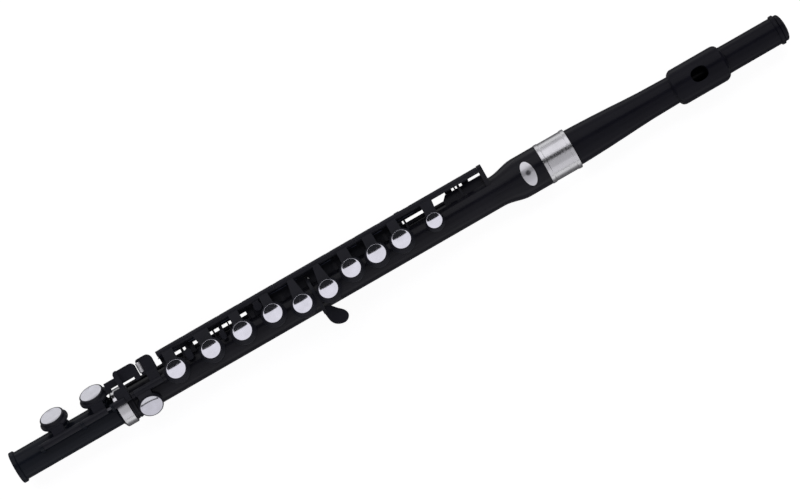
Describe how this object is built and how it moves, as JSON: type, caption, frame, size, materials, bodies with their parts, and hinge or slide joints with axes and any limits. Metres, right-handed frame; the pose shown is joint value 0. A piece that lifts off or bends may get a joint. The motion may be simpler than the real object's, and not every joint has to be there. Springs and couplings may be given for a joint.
{
  "type": "concert flute",
  "caption": "Moulded plastic concert flute in three joints, with sprung keys, bright discs, a side rail and a lip plate.",
  "frame": {"origin": "centre of the bore's open foot end", "axes": "+X along the tube from the foot to the crown, +Z the side the tone holes face, +Y the side of the key rail, where the player is"},
  "size_m": [0.6784, 0.0559, 0.0438],
  "materials": {
    "body_plastic": "satin",
    "key_plastic": "semi-gloss",
    "bright_metal": "polished",
    "disc_metal": "polished",
    "rod_steel": "ground",
    "pad_silicone": "matt",
    "seal_rubber": "matt",
    "stopper_plastic": "matt"
  },
  "bodies": {
    "body": {"body_tube": "body_plastic", "key_rail": "key_plastic", "rail_screws": "rod_steel", "hinge_rods": "rod_steel", "needle_springs": "rod_steel", "barrel_ring": "bright_metal", "barrel_badge": "bright_metal"},
    "foot_seal": {"foot_tenon_seal": "seal_rubber"},
    "foot": {"foot_tube": "body_plastic", "foot_ring": "bright_metal"},
    "c_key": {"c_key": "key_plastic", "c_disc": "disc_metal", "c_pad": "pad_silicone", "foot_rod": "rod_steel"},
    "c_sharp_key": {"c_sharp_key": "key_plastic", "c_sharp_disc": "disc_metal", "c_sharp_pad": "pad_silicone"},
    "e_flat_key": {"e_flat_key": "key_plastic", "e_flat_disc": "disc_metal", "e_flat_pad": "pad_silicone"},
    "e_flat_roller": {"e_flat_roller": "bright_metal"},
    "d_key": {"d_key": "key_plastic", "d_disc": "disc_metal", "d_pad": "pad_silicone"},
    "e_key": {"e_key": "key_plastic", "e_disc": "disc_metal", "e_pad": "pad_silicone"},
    "f_key": {"f_key": "key_plastic", "f_disc": "disc_metal", "f_pad": "pad_silicone"},
    "f_sharp_key": {"f_sharp_key": "key_plastic", "f_sharp_disc": "disc_metal", "f_sharp_pad": "pad_silicone"},
    "g_key": {"g_key": "key_plastic", "g_disc": "disc_metal", "g_pad": "pad_silicone"},
    "a_key": {"a_key": "key_plastic", "a_disc": "disc_metal", "a_pad": "pad_silicone"},
    "b_flat_key": {"b_flat_key": "key_plastic", "b_flat_disc": "disc_metal", "b_flat_pad": "pad_silicone"},
    "b_key": {"b_key": "key_plastic", "b_disc": "disc_metal", "b_pad": "pad_silicone"},
    "upper_c_key": {"upper_c_key": "key_plastic", "upper_c_disc": "disc_metal", "upper_c_pad": "pad_silicone"},
    "side_lever": {"side_lever": "key_plastic"},
    "d_trill_key": {"d_trill_key": "key_plastic"},
    "d_sharp_trill_key": {"d_sharp_trill_key": "key_plastic"},
    "g_sharp_key": {"g_sharp_key": "key_plastic", "g_sharp_pad": "pad_silicone"},
    "thumb_lever": {"thumb_lever": "key_plastic"},
    "head_seal": {"head_tenon_seals": "seal_rubber"},
    "head": {"head_tube": "body_plastic", "lip_plate": "body_plastic"},
    "crown": {"crown_cap": "body_plastic"},
    "stopper": {"head_stopper": "stopper_plastic", "stopper_seals": "seal_rubber"}
  },
  "joints": [
    {"name": "d_key_press", "type": "hinge", "parent": "body", "child": "d_key", "pos_m": [0.1455, 0.0192, 0.0174], "axis": [1, 0, 0], "range_deg": [0, 7.5], "stiffness_Nm_per_rad": 0.05, "springref_deg": -6.88},
    {"name": "e_key_press", "type": "hinge", "parent": "body", "child": "e_key", "pos_m": [0.176, 0.0192, 0.0174], "axis": [1, 0, 0], "range_deg": [0, 7.5], "stiffness_Nm_per_rad": 0.05, "springref_deg": -6.88},
    {"name": "f_key_press", "type": "hinge", "parent": "body", "child": "f_key", "pos_m": [0.2035, 0.0192, 0.0174], "axis": [1, 0, 0], "range_deg": [0, 7.5], "stiffness_Nm_per_rad": 0.05, "springref_deg": -6.88},
    {"name": "f_sharp_key_press", "type": "hinge", "parent": "body", "child": "f_sharp_key", "pos_m": [0.2301, 0.0192, 0.0174], "axis": [1, 0, 0], "range_deg": [0, 7.5], "stiffness_Nm_per_rad": 0.05, "springref_deg": -6.88},
    {"name": "g_key_press", "type": "hinge", "parent": "body", "child": "g_key", "pos_m": [0.2646, 0.0192, 0.0174], "axis": [1, 0, 0], "range_deg": [0, 7.5], "stiffness_Nm_per_rad": 0.05, "springref_deg": -6.88},
    {"name": "a_key_press", "type": "hinge", "parent": "body", "child": "a_key", "pos_m": [0.2987, 0.0192, 0.0174], "axis": [1, 0, 0], "range_deg": [0, 7.5], "stiffness_Nm_per_rad": 0.05, "springref_deg": -6.88},
    {"name": "b_flat_key_press", "type": "hinge", "parent": "body", "child": "b_flat_key", "pos_m": [0.3207, 0.0192, 0.0174], "axis": [1, 0, 0], "range_deg": [0, 7.5], "stiffness_Nm_per_rad": 0.05, "springref_deg": -6.88},
    {"name": "b_key_press", "type": "hinge", "parent": "body", "child": "b_key", "pos_m": [0.3425, 0.0192, 0.0174], "axis": [1, 0, 0], "range_deg": [0, 7.5], "stiffness_Nm_per_rad": 0.05, "springref_deg": -6.88},
    {"name": "upper_c_key_press", "type": "hinge", "parent": "body", "child": "upper_c_key", "pos_m": [0.3713, 0.0192, 0.0174], "axis": [1, 0, 0], "range_deg": [0, 7.5], "stiffness_Nm_per_rad": 0.05, "springref_deg": -6.88},
    {"name": "side_lever_press", "type": "hinge", "parent": "body", "child": "side_lever", "pos_m": [0.222, 0.0192, 0.0174], "axis": [1, 0, 0], "range_deg": [0, 6], "stiffness_Nm_per_rad": 0.04, "springref_deg": -6.88},
    {"name": "d_trill_key_press", "type": "hinge", "parent": "body", "child": "d_trill_key", "pos_m": [0.1887, 0.0194, 0.0122], "axis": [1, 0, 0], "range_deg": [0, 9], "stiffness_Nm_per_rad": 0.05, "springref_deg": -6.88},
    {"name": "d_sharp_trill_key_press", "type": "hinge", "parent": "body", "child": "d_sharp_trill_key", "pos_m": [0.1589, 0.0194, 0.0122], "axis": [1, 0, 0], "range_deg": [0, 9], "stiffness_Nm_per_rad": 0.05, "springref_deg": -6.88},
    {"name": "g_sharp_key_press", "type": "hinge", "parent": "body", "child": "g_sharp_key", "pos_m": [0.2647, 0.0186, 0.0026], "axis": [1, 0, 0], "range_deg": [0, 5], "stiffness_Nm_per_rad": 0.08, "springref_deg": -8.02},
    {"name": "thumb_lever_press", "type": "hinge", "parent": "body", "child": "thumb_lever", "pos_m": [0.319, 0.016, -0.0075], "axis": [-1, 0, 0], "range_deg": [0, 14], "stiffness_Nm_per_rad": 0.04, "springref_deg": -8.02},
    {"name": "e_flat_key_press", "type": "hinge", "parent": "body", "child": "e_flat_key", "pos_m": [0.1146, 0.00119, 0.01696], "axis": [-1, 0, 0], "range_deg": [0, 10], "stiffness_Nm_per_rad": 0.06, "springref_deg": -9.17},
    {"name": "e_flat_roller_turn", "type": "hinge", "parent": "e_flat_key", "child": "e_flat_roller", "pos_m": [0.1213, 0.0171, 0.017], "axis": [0, 1, 0], "continuous": true},
    {"name": "c_key_press", "type": "hinge", "parent": "foot", "child": "c_key", "pos_m": [0.0442, 0.00097, 0.01858], "axis": [-1, 0, 0], "range_deg": [0, 9], "stiffness_Nm_per_rad": 0.06, "springref_deg": -9.17},
    {"name": "c_sharp_key_press", "type": "hinge", "parent": "foot", "child": "c_sharp_key", "pos_m": [0.079, 0.00097, 0.01858], "axis": [-1, 0, 0], "range_deg": [0, 9], "stiffness_Nm_per_rad": 0.06, "springref_deg": -9.17},
    {"name": "foot_turn", "type": "hinge", "parent": "body", "child": "foot_seal", "pos_m": [0.092, 0, 0], "axis": [1, 0, 0], "range_deg": [-10, 10]},
    {"name": "foot_pull", "type": "slide", "parent": "foot_seal", "child": "foot", "axis": [-1, 0, 0], "range_m": [0, 0.0148]},
    {"name": "head_pull", "type": "slide", "parent": "body", "child": "head_seal", "axis": [1, 0, 0], "range_m": [0, 0.012]},
    {"name": "head_turn", "type": "hinge", "parent": "head_seal", "child": "head", "pos_m": [0.47, 0, 0], "axis": [1, 0, 0], "range_deg": [-30, 30]},
    {"name": "crown_turn", "type": "hinge", "parent": "head", "child": "crown", "pos_m": [0.674, 0, 0], "axis": [1, 0, 0], "range_deg": [-361, 361]},
    {"name": "stopper_slide", "type": "slide", "parent": "head", "child": "stopper", "axis": [1, 0, 0], "range_m": [-0.0007, 0.0007]}
  ],
  "couplings": [
    {"joint": "crown_turn", "follows": "stopper_slide", "rad_per_m": 8976},
    {"joint": "f_sharp_key_press", "follows": "f_key_press", "ratio": 1},
    {"joint": "b_flat_key_press", "follows": "a_key_press", "ratio": 1},
    {"joint": "b_key_press", "follows": "thumb_lever_press", "ratio": 0.53571}
  ]
}
